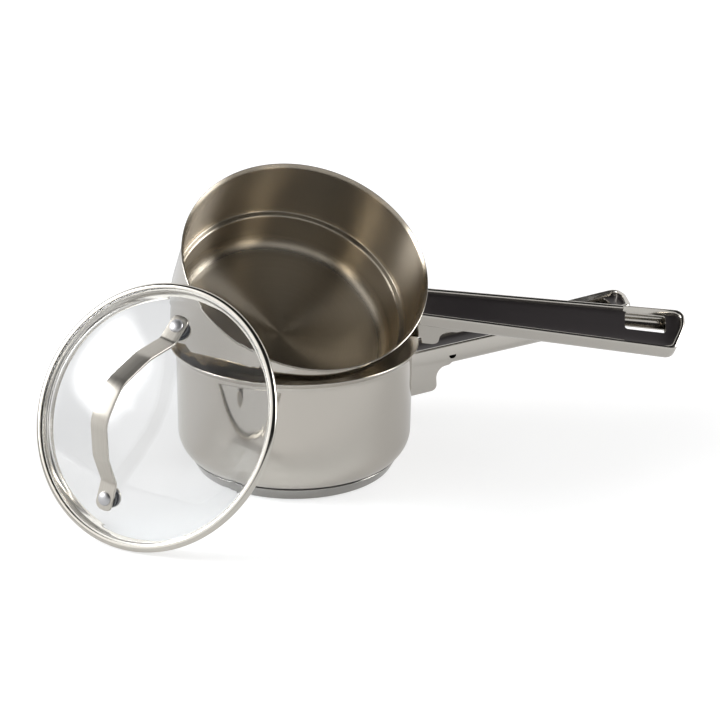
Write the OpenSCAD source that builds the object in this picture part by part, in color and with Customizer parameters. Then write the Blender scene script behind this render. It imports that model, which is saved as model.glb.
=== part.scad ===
// Double boiler in stainless steel: a saucepan for the water, an insert pan that hangs in it by a
// ledge, and a domed glass lid with a strap handle. The insert lies tilted in the saucepan and the
// lid leans against both, with its edge on the table. Millimetres, Z up, origin at the centre of
// the saucepan's underside.

/* [Saucepan] */
// Height of the lip's edge above the table
pan_h = 89.2; // [80:0.2:110]
// Outer radius of the wall
pan_r = 81.2; // [72:0.1:90]
// Reach of the pouring lip beyond the wall
lip_reach = 4.3; // [3:0.1:8]
// Thickness of the wall
pan_t = 0.8; // [0.6:0.1:1.2]
// Radius of the large curve between wall and bottom
pan_corner_r = 22; // [16:1:26]
// Height over which the lip flares outwards
lip_rise = 5; // [4:0.5:8]
// Radius of the bend in the lip
lip_bend_r = 6; // [3:0.5:8]

/* [Heat-spreading base] */
// Height of the saucepan's own bottom above the table
base_rise = 4.7; // [3.5:0.1:7]
// Distance inside the wall's line at which the cap's side line meets the table
cap_foot_in = 12.7; // [11:0.1:16]
// Distance of the cap's top edge inside the wall's line
cap_top_in = 7; // [5:0.1:9]
// Height of the cap's top edge before it is trimmed to the pan
cap_top_h = 10.7; // [9:0.1:13]
// Radius of the cap's lower edge
cap_edge_r = 3.5; // [2:0.5:5]
// Thickness of the cap
cap_t = 0.6; // [0.4:0.1:1]

/* [Insert pan] */
// Play between the insert's lower wall and the saucepan's inside
insert_play = 1.9; // [0.6:0.1:4]
// Width of the ledge
ledge_w = 3.9; // [3:0.1:4.6]
// Reach of the rim beyond the wall above the ledge
rim_reach = 1.6; // [0.8:0.1:2.4]
// Thickness of the wall
insert_t = 0.7; // [0.5:0.1:1]
// Depth of the ledge under the rim
ledge_drop = 51.8; // [40:0.2:60]
// Fall of the ledge from its outer to its inner edge
ledge_fall = 0.8; // [0.2:0.1:2]
// Depth of the underside below the rim
insert_depth = 84.6; // [75:0.2:100]
// Radius of the curve between wall and bottom
insert_corner_r = 11.5; // [6:0.5:18]
// Height over which the rim flares outwards
insert_flare = 2.6; // [2:0.1:5]
// Radius of the bend at the ledge's inner edge
ledge_in_r = 1.2; // [1:0.1:1.6]
// Radius of the bend at the ledge's outer edge
ledge_out_r = 1.8; // [1.2:0.1:2]
// Radius of the bend in the flared rim
flare_r = 3; // [2:0.5:4]

/* [Handles] */
// Length from the pan's rim to the tip
handle_len = 185.5; // [160:0.5:205]
// Angle by which the saucepan's handle rises from the plane of the rim
pan_handle_slope = 4.9; // [0:0.1:12]
// Angle by which the insert's handle rises from the plane of the rim
insert_handle_slope = 6.9; // [0:0.1:12]
// Drop of the handle's top edges under the rim where it starts
handle_drop = 18.2; // [14:0.2:22]
// Width at the pan
handle_w_root = 24.2; // [22:0.1:28]
// Width at the tip
handle_w_tip = 34.4; // [30:0.1:38]
// Depth from the top edges to the underside
handle_depth = 16; // [14:0.5:19]
// Radius of the curves along the underside
handle_under_r = 6.5; // [4:0.5:7]
// Radius of the rounded top edges
handle_edge_r = 1.5; // [1:0.1:1.7]
// Wall thickness of the hollow body
handle_t = 1.2; // [0.8:0.1:1.6]
// Width of the bright top edge on each side of the plate
edge_w = 1.8; // [1.6:0.1:3]
// Depth at which the plate's sides lie under the top edges
plate_sink = 3.2; // [2:0.1:4.5]
// Radius of the trough pressed into the plate
trough_r = 42; // [30:1:60]
// Thickness of the plate
plate_t = 1; // [0.6:0.1:1.5]
// Radius of the corners at the tip
tip_r = 6; // [3:0.5:6]
// Length by which the tip's right corner is cut back
tip_cut = 8; // [4:0.5:12]
// Sideways place of the tip's farthest point
tip_side = 4; // [2:0.5:5]

/* [Hanging slot] */
// Metal left between the slot and the tip
slot_tip = 12.5; // [10:0.5:20]
// Length of the slot
slot_len = 29; // [20:0.5:32]
// Width of the slot
slot_w = 13; // [9:0.1:13.4]
// Sideways offset of the slot from the handle's centre line
slot_side = 6.3; // [0:0.1:6.4]
// Radius of the slot's corners
slot_r = 2; // [1:0.5:4]
// Inward lean of the walls beside the slot
slot_lean = 1.6; // [0.5:0.1:2]

/* [Handle brackets] */
// Height of the bracket, from the handle's top edges down
bracket_h = 33; // [28:0.5:33.5]
// Length of the bracket's lower edge beyond the rim
bracket_foot = 17.5; // [12:0.5:20]
// Radius of the curve between bracket and handle
bracket_curve_r = 8; // [4:0.5:9]
// Radius of the bracket's lower corner
bracket_corner_r = 4.5; // [2:0.5:6]
// Sheet thickness of the bracket
bracket_t = 1.2; // [0.8:0.1:2]
// Length of the notch that keeps the insert's bracket off the saucepan's lip
notch_len = 6; // [5:0.5:8]
// Height of that notch
notch_h = 6.5; // [6:0.5:10]
// Distance from the rim to the vent hole in the saucepan's handle
vent_reach = 30.5; // [26:0.5:40]
// Drop of the vent hole under the top edges
vent_drop = 8.2; // [8:0.1:10]
// Radius of the vent hole's round side
vent_r = 2.8; // [1.5:0.1:3]

/* [Lid] */
// Reach of the lid's band beyond the saucepan's lip
lid_over = 0.6; // [0:0.1:2]
// Play between the edge of the glass and the band around it
glass_play = 0.2; // [0.1:0.1:0.6]
// Thickness of the glass
glass_t = 4; // [3:0.5:5]
// Radius ground on the edge of the glass
glass_edge_r = 1.8; // [0.5:0.1:1.8]
// Radius of the dome
dome_r = 190; // [170:5:220]
// Slope at which the dome turns into its shoulder
dome_slope = 21; // [18:0.5:22]
// Slope of the shoulder
shoulder_slope = 40; // [34:1:46]
// Level reach of the shoulder
shoulder_reach = 7.1; // [5:0.1:9]
// Radius of the curve between dome and shoulder
glass_knee_r = 18; // [12:1:22]
// Radius of the curve between shoulder and flat edge
glass_foot_r = 4.5; // [3:0.5:5]
// Width of the flat edge outside the shoulder, with the band
edge_flat_w = 5.1; // [4.8:0.1:7]
// Sheet thickness of the band
band_t = 0.6; // [0.4:0.1:0.8]
// Width of the band's top flange
flange_w = 3.8; // [3.4:0.1:5]
// Play between the skirt and the pan's wall
skirt_play = 0.8; // [0.4:0.1:2]
// Depth of the skirt below the band's seat
skirt_h = 4.8; // [3:0.1:5]
// Inward lean of the skirt
skirt_lean = 0.7; // [0:0.1:2]
// Width of the hem turned inwards at the skirt's lower edge
hem_w = 2; // [1:0.1:3]
// Radius of the bends above and below the skirt
skirt_bend_r = 1; // [0.8:0.1:1.4]

/* [Lid handle] */
// Distance of each rivet from the lid's edge
rivet_in = 28.8; // [26:0.1:34]
// Width of the strap
strap_w = 12; // [10:0.5:16]
// Thickness of the strap
strap_t = 2; // [1.5:0.1:3]
// Height of the strap's flat top above its feet
strap_h = 42.6; // [36:0.2:50]
// Length of each foot outside its rivet
foot_tail = 7.5; // [6:0.5:8]
// Length of each foot inside its rivet
foot_nose = 11.3; // [9:0.1:14]
// Half the length of the strap's flat top
grip_half = 12; // [9:0.5:14]
// Reach of the strap's shoulder from the lid's axis
knee_reach = 33; // [28:0.5:36]
// Height of the strap's shoulder above its feet
knee_h = 23.6; // [20:0.2:28]
// Radius of the bend between each foot and its leg
foot_bend_r = 4; // [3:0.5:5]
// Radius of the strap's shoulders
knee_r = 14; // [10:1:16]
// Radius of the bends beside the flat top
grip_r = 16; // [12:1:18]
// Radius of the corners of the feet
foot_corner_r = 4; // [2:0.5:4.5]
// Radius of the rivets' shanks
rivet_r = 2.5; // [2:0.1:3]
// Radius of the rivets' heads
rivet_head_r = 4.6; // [4:0.1:5.5]
// Height of the rivets' heads
rivet_head_h = 2.4; // [1.5:0.1:3]
// Spread and height of the closed end under the washer
rivet_spread = 1.2; // [0.8:0.1:1.5]
// Radius of the soft gaskets and of the washers
gasket_r = 6.8; // [6.2:0.1:8]
// Thickness of each gasket
gasket_t = 1.4; // [1:0.1:2]
// Thickness of the steel washers
washer_t = 1; // [0.8:0.1:1.5]
// Play between the holes in the glass and the rivets
rivet_play = 0.4; // [0.3:0.1:0.8]

/* [How the pieces lie] */
// Depth of the insert's bottom centre under the saucepan's lip
insert_sink = 4.2; // [0:0.1:10]
// Level gap between the saucepan's lip and the insert's wall on the low side
insert_gap = 4.5; // [4:0.1:7]
// Sideways shift of the insert from the line of its tilt
insert_shift = 1.4; // [0:0.1:2]
// Tilt of the insert
insert_tilt = 37.6; // [37:0.1:38]
// Direction to which the insert tilts
insert_turn = 23.66; // [23:0.1:24]
// Turn of the insert's handle from the level line across the insert
insert_handle_turn = -20.5; // [-24:0.5:-18]
// Turn of the saucepan's handle
pan_handle_turn = 24.8; // [22:0.2:28]
// Gap left between the lid's hem and the insert's rim
lid_gap = 0.9; // [0.4:0.1:2]
// Angle round the lid, from its side, at which its hem meets the insert's rim
touch_turn = 85; // [82:0.5:88]
// Direction to which the lid tilts
lid_turn = -25.69; // [-27:0.1:-25]
// Turn of the strap handle on the lid
strap_turn = -100.6; // [-110:0.2:-90]
// Gap left between the lid's edge and the table
table_gap = 0.2; // [0.1:0.1:1]

/* [Hidden] */

$fn = 96;
arc_step = 9;
eps = 0.01;
polished = [0.80, 0.79, 0.76];
satin = [0.62, 0.60, 0.57];
trough_grey = [0.25, 0.24, 0.24];

// Paths. A path is a list of corners, and a second list gives each corner's radius.
function left(a, b) = [a.y - b.y, b.x - a.x] / norm(b - a);
function turned(v, q) = [v.x * cos(q) - v.y * sin(q), v.x * sin(q) + v.y * cos(q)];
function way(a, b, c) = sign(cross(b - a, c - b));

// Points of the arc that rounds corner b between a and c
function bend(a, b, c, r) =
    let (u = (a - b) / norm(a - b),
         v = (c - b) / norm(c - b),
         half = acos(u * v) / 2,
         mid = b + (u + v) / norm(u + v) * r / sin(half),
         start = b + u * r / tan(half) - mid,
         turn = (180 - 2 * half) * way(a, b, c),
         n = max(2, ceil(abs(turn) / arc_step)))
    [for (k = [0:n]) mid + turned(start, turn * k / n)];

function rounded(p, r) =
    [p[0],
     for (i = [1:len(p) - 2]) each r[i] > 0 ? bend(p[i - 1], p[i], p[i + 1], r[i]) : [p[i]],
     p[len(p) - 1]];

function closed(p, r) =
    let (n = len(p))
    [for (i = [0:n - 1]) each bend(p[(i + n - 1) % n], p[i], p[(i + 1) % n], r[i])];

// The same path moved by t to its left, with its radii changed to suit
function shifted(p, t) =
    let (n = len(p) - 1)
    [for (i = [0:n])
        i == 0 ? p[0] + t * left(p[0], p[1]) :
        i == n ? p[n] + t * left(p[n - 1], p[n]) :
        let (a = left(p[i - 1], p[i]), b = left(p[i], p[i + 1])) p[i] + t * (a + b) / (1 + a * b)];

function shifted_radii(p, r, t) =
    [for (i = [0:len(p) - 1]) r[i] == 0 ? 0 : r[i] - t * way(p[i - 1], p[i], p[i + 1])];

function reversed(p) = [for (i = [len(p) - 1:-1:0]) p[i]];

// Outline of a sheet of thickness t that lies to the left of a path
function sheet(p, r, t) =
    concat(rounded(p, r), reversed(rounded(shifted(p, t), shifted_radii(p, r, t))));

// Profiles of the two pans, from the axis outwards and up to the rim
pan_lip_r = pan_r + lip_reach;
cap_foot_r = pan_r - cap_foot_in;
cap_top_r = pan_r - cap_top_in;
insert_low_r = pan_r - pan_t - insert_play;
insert_top_r = insert_low_r + ledge_w;
insert_rim_r = insert_top_r + rim_reach;
pan_path = [[0, base_rise], [pan_r, base_rise], [pan_r, pan_h - lip_rise], [pan_lip_r, pan_h]];
pan_round = [0, pan_corner_r, lip_bend_r, 0];
cap_path = [[0, 0], [cap_foot_r, 0], [cap_top_r, cap_top_h]];
cap_round = [0, cap_edge_r, 0];
insert_path = [[0, -insert_depth], [insert_low_r, -insert_depth],
               [insert_low_r, -ledge_drop - ledge_fall], [insert_top_r, -ledge_drop],
               [insert_top_r, -insert_flare], [insert_rim_r, 0]];
insert_round = [0, insert_corner_r, ledge_in_r, ledge_out_r, flare_r, 0];

// Everything inside the path and under its last corner, as a flat outline
module filled(p, r) {
    polygon(concat(rounded(p, r), [[0, p[len(p) - 1].y]]));
}

// Handle frame: X runs out along the top edges, Y to the left, Z up from the top edges. Handle
// pieces start inside the pan, whose wall cuts them.
into_pan = 16;
cut = 1;
cavity_edge_r = handle_edge_r / 1.5;
slot_start = handle_len - slot_tip - slot_len;
notch_run = 1.5;
bracket_side_gap = 0.4;
cavity_top = -plate_sink - plate_t - cut;
function handle_w(s) = handle_w_root + (handle_w_tip - handle_w_root) * s / handle_len;

module section(s, inset, top, edge_r) {
    w = handle_w(s) / 2 - inset;
    d = handle_depth - inset;
    r = handle_under_r - inset;
    translate([s, 0, 0])
        rotate([90, 0, 90])
            linear_extrude(eps)
                polygon(closed([[-w, top], [-w, -d], [w, -d], [w, top]], [edge_r, r, r, edge_r]));
}

// Plan of the handle, drawn in by inset on each side
module plan(inset, start, top) {
    a = handle_w(start) / 2 - inset;
    b = handle_w_tip / 2 - inset;
    e = handle_len - inset;
    r = tip_r - inset / 2;
    translate([0, 0, -handle_depth - cut])
        linear_extrude(handle_depth + cut + top)
            polygon(rounded([[start, -a], [e - tip_cut, -b], [e, tip_side], [e, b], [start, a]],
                            [0, r, 4 * r, r, 0]));
}

module handle_form(inset, start, top, edge_r) {
    intersection() {
        hull() {
            section(start, inset, top, edge_r);
            section(handle_len, inset, top, edge_r);
        }
        plan(inset, start, cut);
    }
}

// Cylinder whose lower side is the trough, tilted so that its edges follow the top edges
module trough(extra) {
    z0 = sqrt(pow(trough_r, 2) - pow(handle_w(0) / 2 - edge_w, 2)) - plate_sink;
    z1 = sqrt(pow(trough_r, 2) - pow(handle_w(handle_len) / 2 - edge_w, 2)) - plate_sink;
    fall = atan((z0 - z1) / handle_len);
    ahead = 2 * into_pan;
    translate([0, 0, z0])
        rotate([0, 90 + fall, 0])
            translate([0, 0, -ahead])
                cylinder(r = trough_r + extra, h = handle_len + 2 * ahead);
}

// Room between the two walls: upright along the handle, leaning inwards beside the slot
module between_walls() {
    step = slot_start - slot_r;
    half = handle_w(slot_start + slot_len / 2) / 2 - edge_w;
    deep = handle_depth / 2;
    lean = slot_lean * deep / plate_sink;
    translate([-2 * into_pan, -handle_w_tip, -handle_depth])
        cube([step + 2 * into_pan, 2 * handle_w_tip, 2 * handle_depth]);
    translate([step, 0, 0])
        rotate([90, 0, 90])
            linear_extrude(handle_len - step)
                polygon([[-half + lean, -deep], [half - lean, -deep], [half + lean, deep],
                         [-half - lean, deep]]);
}

// What the plate and the room above it take out of the handle
module plate_bed() {
    intersection() {
        trough(plate_t);
        plan(edge_w, -into_pan - cut, cut);
        between_walls();
    }
}

module hang_slot() {
    a = slot_start;
    b = slot_start + slot_len;
    w = slot_w / 2;
    translate([0, slot_side, -handle_depth])
        linear_extrude(2 * handle_depth)
            polygon(closed([[a, -w], [b, -w], [b, w], [a, w]], [slot_r, slot_r, slot_r, slot_r]));
}

// Opening in the underside below the slot
module under_slot() {
    w = handle_w(slot_start) - 2 * handle_under_r;
    translate([slot_start - slot_r, -w / 2, -handle_depth - cut])
        cube([slot_len + 2 * slot_r, w, handle_depth / 2]);
}

module handle_shell() {
    difference() {
        handle_form(0, -into_pan, 0, handle_edge_r);
        handle_form(handle_t, -into_pan - cut, cavity_top, cavity_edge_r);
        plate_bed();
        hang_slot();
        under_slot();
    }
}

module handle_top() {
    difference() {
        plate_bed();
        trough(0);
        hang_slot();
    }
}

// Half-round hole through the right side of the handle
module vent_hole() {
    translate([vent_reach, 0, -vent_drop])
        rotate([90, 0, 0])
            linear_extrude(handle_w_tip)
                intersection() {
                    circle(vent_r);
                    translate([-vent_r, -vent_r])
                        square([2 * vent_r, vent_r]);
                }
}

// Side view of the bracket, with X out from the rim and Z up from the handle's top edges
module bracket_block(inset, notch) {
    foot = bracket_foot - inset;
    low = inset - bracket_h;
    end = bracket_foot + bracket_curve_r + 2;
    p = [[-into_pan, -handle_depth / 2], [-into_pan, low + notch],
         [notch_len - notch_run + inset, low + notch], [notch_len + inset, low], [foot, low],
         [foot, -handle_depth], [end, -handle_depth], [end, -handle_depth / 2]];
    w = handle_w_root - bracket_side_gap - 2 * inset;
    rotate([90, 0, 0])
        translate([0, 0, -w / 2])
            linear_extrude(w)
                polygon(rounded(p, [0, 0, 0, 0, bracket_corner_r - inset, bracket_curve_r, 0, 0]));
}

module bracket(notch) {
    difference() {
        bracket_block(0, notch);
        bracket_block(bracket_t, notch);
        handle_form(0, -into_pan - cut, 0, handle_edge_r);
    }
}

// Puts a handle piece on a pan: at the rim's edge, under it by the drop, turned and sloped up
module on_rim(rim_r, turn, slope) {
    rotate([0, 0, turn])
        translate([rim_r, 0, -handle_drop])
            rotate([0, -slope, 0])
                children();
}

// Room taken by each pan, so that handle pieces end on its wall
module pan_room() {
    rotate_extrude()
        filled(pan_path, pan_round);
}

module insert_room() {
    rotate_extrude()
        filled(insert_path, insert_round);
}

// Saucepan
module saucepan_body() {
    color(polished)
        rotate_extrude()
            polygon(sheet(pan_path, pan_round, pan_t));
}

module saucepan_base_core() {
    color([0.72, 0.73, 0.74])
        rotate_extrude()
            difference() {
                filled(shifted(cap_path, cap_t), shifted_radii(cap_path, cap_round, cap_t));
                filled(pan_path, pan_round);
            }
}

module saucepan_base_cap() {
    color(polished)
        rotate_extrude()
            difference() {
                filled(cap_path, cap_round);
                filled(shifted(cap_path, cap_t), shifted_radii(cap_path, cap_round, cap_t));
                filled(pan_path, pan_round);
            }
}

module on_saucepan() {
    difference() {
        translate([0, 0, pan_h])
            on_rim(pan_lip_r, pan_handle_turn, pan_handle_slope)
                children();
        pan_room();
    }
}

module saucepan_bracket() {
    color(polished)
        on_saucepan()
            bracket(0);
}

module saucepan_handle_shell() {
    color(polished)
        on_saucepan()
            difference() {
                handle_shell();
                vent_hole();
            }
}

module saucepan_handle_top() {
    color(trough_grey)
        on_saucepan()
            handle_top();
}

// The insert lies in the saucepan with its low side's wall on the lip, and so far down that its
// bottom's centre is under the lip by the sink
insert_up = insert_depth * cos(insert_tilt) - insert_sink;
insert_run = (insert_up - insert_top_r * sin(insert_tilt)) / cos(insert_tilt);
insert_out = pan_lip_r - insert_gap - insert_top_r * cos(insert_tilt) + insert_run * sin(insert_tilt);
insert_at = [insert_out * sin(insert_turn) - insert_shift * cos(insert_turn),
             -insert_out * cos(insert_turn) - insert_shift * sin(insert_turn), pan_h + insert_up];

module place_insert() {
    translate(insert_at)
        rotate([insert_tilt, 0, insert_turn])
            children();
}

module insert_body() {
    color(satin)
        place_insert()
            rotate_extrude()
                polygon(sheet(insert_path, insert_round, insert_t));
}

module on_insert() {
    place_insert()
        difference() {
            on_rim(insert_rim_r, insert_handle_turn, insert_handle_slope)
                children();
            insert_room();
        }
}

module insert_bracket() {
    color(polished)
        on_insert()
            bracket(notch_h);
}

module insert_handle_shell() {
    color(polished)
        on_insert()
            handle_shell();
}

module insert_handle_top() {
    color(trough_grey)
        on_insert()
            handle_top();
}

// The lid stands on the table with its edge, and its hem leans against the insert's rim. Its tilt is
// the one at which it does both, found by halving.
lid_r = pan_lip_r + lid_over;
band_half = glass_t / 2 + band_t;
skirt_r = pan_r - pan_t - skirt_play;
touch_r = skirt_r - skirt_lean - 3 / 4 * hem_w;
touch_up = band_half + skirt_h + lid_gap;
function axis(tilt, turn) = [sin(tilt) * sin(turn), -sin(tilt) * cos(turn), cos(tilt)];
insert_axis = axis(insert_tilt, insert_turn);

// Point of the insert's rim that lies farthest along a
function rim_point(a) =
    let (d = a - (a * insert_axis) * insert_axis) insert_at + insert_rim_r * d / norm(d);

// Centre of a lid that meets the rim, and the height of its centre when it stands on the table
function lid_centre(tilt) =
    let (a = axis(tilt, lid_turn), side = [cos(lid_turn), sin(lid_turn), 0])
    rim_point(a) + touch_up * a - touch_r * (cos(touch_turn) * side + sin(touch_turn) * cross(a, side));
function stand_h(tilt) = (lid_r - band_half) * sin(tilt) + band_half + table_gap;
function halved(low, high, n) =
    let (mid = (low + high) / 2)
    n == 0 ? mid :
    lid_centre(mid).z > stand_h(mid) ? halved(mid, high, n - 1) : halved(low, mid, n - 1);
lid_tilt = halved(40, 85, 30);
lid_at = lid_centre(lid_tilt);

module place_lid() {
    translate(lid_at)
        rotate([lid_tilt, 0, lid_turn])
            children();
}

// Upper face of the glass from the axis outwards: dome, shoulder and flat edge
function down(slope) = [cos(slope), -sin(slope)];
glass_r = lid_r - band_t - glass_play;
shoulder_foot_r = lid_r - edge_flat_w;
glass_foot = [shoulder_foot_r, glass_t / 2];
glass_knee = glass_foot + shoulder_reach * [-1, tan(shoulder_slope)];
dome_run = dome_r * tan(dome_slope / 2);
dome_h = glass_knee.y + (glass_knee.x - dome_run) * tan(dome_slope);
glass_path = [[0, dome_h], [dome_run, dome_h], glass_knee, glass_foot, [glass_r, glass_t / 2]];
glass_round = [0, dome_r, glass_knee_r, glass_foot_r, 0];
glass_edge = [[glass_r, -glass_t / 2], [shoulder_foot_r + 1, -glass_t / 2]];

// Outer face of the band: flange over the glass, bead, seat on the pan, skirt and hem
band_path = [[lid_r - flange_w, band_half], [lid_r, band_half], [lid_r, -band_half],
             [skirt_r, -band_half], [skirt_r - skirt_lean, -band_half - skirt_h],
             [skirt_r - skirt_lean - hem_w, -band_half - skirt_h]];
bead_r = band_half - 5 * eps;
band_round = [0, bead_r, bead_r, skirt_bend_r, skirt_bend_r, 0];

module glass_dome() {
    outside = rounded(concat(glass_path, glass_edge),
                      [0, dome_r, glass_knee_r, glass_foot_r, glass_edge_r, glass_edge_r, 0]);
    inside = rounded(shifted(glass_path, -glass_t), shifted_radii(glass_path, glass_round, -glass_t));
    rotate_extrude($fn = 180)
        polygon(concat(outside, reversed([for (p = inside) if (p.x < shoulder_foot_r + 1) p])));
}

// Height and slope of the dome under the rivets
rivet_reach = lid_r - rivet_in;
foot_slope = asin(rivet_reach / dome_r);
foot_h = dome_h - dome_r * (1 - cos(foot_slope));

// Puts a piece at rivet 1 or 2, with Z square to the glass and zero on its upper face
module at_rivet(k) {
    rotate([0, 0, strap_turn + 180 * k])
        translate([rivet_reach, 0, foot_h])
            rotate([0, foot_slope, 0])
                children();
}

module rivet_holes(r) {
    for (k = [1, 2])
        at_rivet(k)
            translate([0, 0, -dome_h])
                cylinder(r = r, h = 2 * dome_h);
}

module lid_glass() {
    color([0.85, 0.88, 0.88, 0.35])
        place_lid()
            difference() {
                glass_dome();
                rivet_holes(rivet_r + rivet_play);
            }
}

module lid_band() {
    color(polished)
        place_lid()
            rotate_extrude($fn = 180)
                polygon(sheet(band_path, band_round, -band_t));
}

// Underside of the strap, from one foot over the top to the other
foot_seat = [rivet_reach, foot_h] + gasket_t * [sin(foot_slope), cos(foot_slope)];
foot_end = foot_seat + foot_tail * down(foot_slope);
foot_bend = foot_seat - foot_nose * down(foot_slope);
strap_side = [foot_end, foot_bend, [knee_reach, foot_seat.y + knee_h],
              [grip_half, foot_seat.y + strap_h]];
strap_round = [0, foot_bend_r, knee_r, grip_r];
strap_path = concat([for (p = strap_side) [-p.x, p.y]], reversed(strap_side));

module lid_handle() {
    reach = foot_end.x;
    w = strap_w / 2;
    color(satin)
        place_lid()
            difference() {
                rotate([0, 0, strap_turn])
                    intersection() {
                        rotate([90, 0, 0])
                            translate([0, 0, -w])
                                linear_extrude(strap_w)
                                    polygon(sheet(strap_path, concat(strap_round, reversed(strap_round)),
                                                  strap_t));
                        linear_extrude(foot_seat.y + strap_h + strap_t + cut)
                            polygon(closed([[-reach, -w], [reach, -w], [reach, w], [-reach, w]],
                                           foot_corner_r * [1, 1, 1, 1]));
                    }
                rivet_holes(rivet_r);
            }
}

module rivet(k) {
    tail = glass_t + gasket_t + washer_t;
    color([0.78, 0.78, 0.78])
        place_lid()
            at_rivet(k) {
                translate([0, 0, -tail - rivet_spread / 2])
                    cylinder(r = rivet_r, h = tail + gasket_t + strap_t + (rivet_spread + rivet_head_h) / 2);
                translate([0, 0, gasket_t + strap_t])
                    rivet_head(rivet_head_r, rivet_head_h);
                translate([0, 0, -tail])
                    mirror([0, 0, 1])
                            rivet_head(rivet_r + rivet_spread, rivet_spread);
            }
}

// Low domed head of radius r and height h standing on its flat face
module rivet_head(r, h) {
    ball = (r * r + h * h) / (2 * h);
    intersection() {
        translate([0, 0, h - ball])
            sphere(ball);
        cylinder(r = r, h = h);
    }
}

module top_gasket(k) {
    color([0.30, 0.30, 0.32])
        place_lid()
            difference() {
                at_rivet(k)
                    translate([0, 0, -gasket_t / 2])
                        cylinder(r = gasket_r, h = 3 / 2 * gasket_t);
                glass_dome();
                rivet_holes(rivet_r);
            }
}

module under_gasket(k) {
    color([0.30, 0.30, 0.32])
        place_lid()
            difference() {
                at_rivet(k)
                    translate([0, 0, -glass_t - gasket_t])
                        cylinder(r = gasket_r, h = 3 / 2 * gasket_t);
                glass_dome();
                rivet_holes(rivet_r);
            }
}

module washer(k) {
    color([0.70, 0.70, 0.70])
        place_lid()
            difference() {
                at_rivet(k)
                    translate([0, 0, -glass_t - gasket_t - washer_t])
                        cylinder(r = gasket_r, h = washer_t);
                rivet_holes(rivet_r);
            }
}

module lid_rivet_1() { rivet(1); }
module lid_rivet_2() { rivet(2); }
module lid_top_gasket_1() { top_gasket(1); }
module lid_top_gasket_2() { top_gasket(2); }
module lid_under_gasket_1() { under_gasket(1); }
module lid_under_gasket_2() { under_gasket(2); }
module lid_washer_1() { washer(1); }
module lid_washer_2() { washer(2); }

saucepan_body();
saucepan_base_core();
saucepan_base_cap();
saucepan_bracket();
saucepan_handle_shell();
saucepan_handle_top();
insert_body();
insert_bracket();
insert_handle_shell();
insert_handle_top();
lid_glass();
lid_band();
lid_handle();
lid_rivet_1();
lid_rivet_2();
lid_top_gasket_1();
lid_top_gasket_2();
lid_under_gasket_1();
lid_under_gasket_2();
lid_washer_1();
lid_washer_2();
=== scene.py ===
# Looks of a stainless steel double boiler: saucepan, insert pan lying tilted in it, and glass lid.
import math

import bmesh
import bpy
from mathutils import Matrix, Vector
from mathutils.geometry import delaunay_2d_cdt

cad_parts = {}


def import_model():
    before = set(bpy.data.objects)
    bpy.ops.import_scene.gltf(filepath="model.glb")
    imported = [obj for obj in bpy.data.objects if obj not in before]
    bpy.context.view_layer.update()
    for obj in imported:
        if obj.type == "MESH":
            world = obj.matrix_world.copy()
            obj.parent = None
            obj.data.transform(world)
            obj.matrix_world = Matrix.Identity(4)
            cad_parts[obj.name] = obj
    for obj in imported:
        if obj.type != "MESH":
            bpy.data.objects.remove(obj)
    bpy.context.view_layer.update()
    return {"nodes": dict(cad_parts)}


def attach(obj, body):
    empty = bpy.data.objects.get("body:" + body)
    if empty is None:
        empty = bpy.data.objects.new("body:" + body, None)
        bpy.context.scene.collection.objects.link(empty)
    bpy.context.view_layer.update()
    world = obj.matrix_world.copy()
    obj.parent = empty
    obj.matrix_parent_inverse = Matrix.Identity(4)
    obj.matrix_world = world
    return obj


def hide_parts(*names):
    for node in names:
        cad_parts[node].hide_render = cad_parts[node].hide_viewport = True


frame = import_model()
nodes = frame["nodes"]

MM = 0.001

# Saucepan, in millimetres
PAN_H = 89.2
PAN_LIP_R = 85.5
PAN_R = 81.2
PAN_T = 0.8
PAN_CORNER_R = 22.0
LIP_RISE = 5.0
LIP_BEND_R = 6.0
BASE_RISE = 4.7
CAP_FOOT_R = 68.5
CAP_TOP_R = 74.0
CAP_TOP_H = 10.2
CAP_EDGE_R = 3.5

# Insert pan
INSERT_RIM_R = 84.0
INSERT_TOP_R = 82.4
INSERT_LOW_R = 78.5
INSERT_T = 0.7
LEDGE_DROP = 51.8
LEDGE_FALL = 0.8
INSERT_DEPTH = 84.6
INSERT_CORNER_R = 11.5
INSERT_FLARE = 2.6
INSERT_CENTRE = (8.903, -23.81, 152.028)
INSERT_TILT = 37.6
INSERT_TURN = 23.66

# Handles
HANDLE_LEN = 185.5
HANDLE_DROP = 18.2
HANDLE_W_ROOT = 24.2
HANDLE_W_TIP = 34.4
HANDLE_DEPTH = 16.0
UNDER_R = 6.5
WALL_T = 1.2
BEAD_R = 1.5
EDGE_W = 1.8
PLATE_SINK = 3.2
PLATE_T = 1.0
TROUGH_R = 42.0
TIP_R = 6.0
TIP_CUT = 8.0
TIP_SIDE = 4.0
SLOT_START = 144.0
SLOT_LEN = 29.0
SLOT_W = 13.0
SLOT_SIDE = 6.3
SLOT_R = 2.0
FLARE_TOP = 1.2
FLARE_RUN = 2.4
BRACKET_H = 33.0
BRACKET_FOOT = 17.5
BRACKET_CURVE_R = 8.0
BRACKET_CORNER_R = 4.5
BRACKET_END = 34.5
NOTCH_LEN = 6.0
NOTCH_H = 6.5
VENT_REACH = 30.5
VENT_DROP = 8.2
VENT_R = 2.8
INTO_WALL = 0.3
PAN_HANDLE_TURN = 24.8
PAN_HANDLE_SLOPE = 4.9
INSERT_HANDLE_TURN = -20.5
INSERT_HANDLE_SLOPE = 6.9

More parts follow.
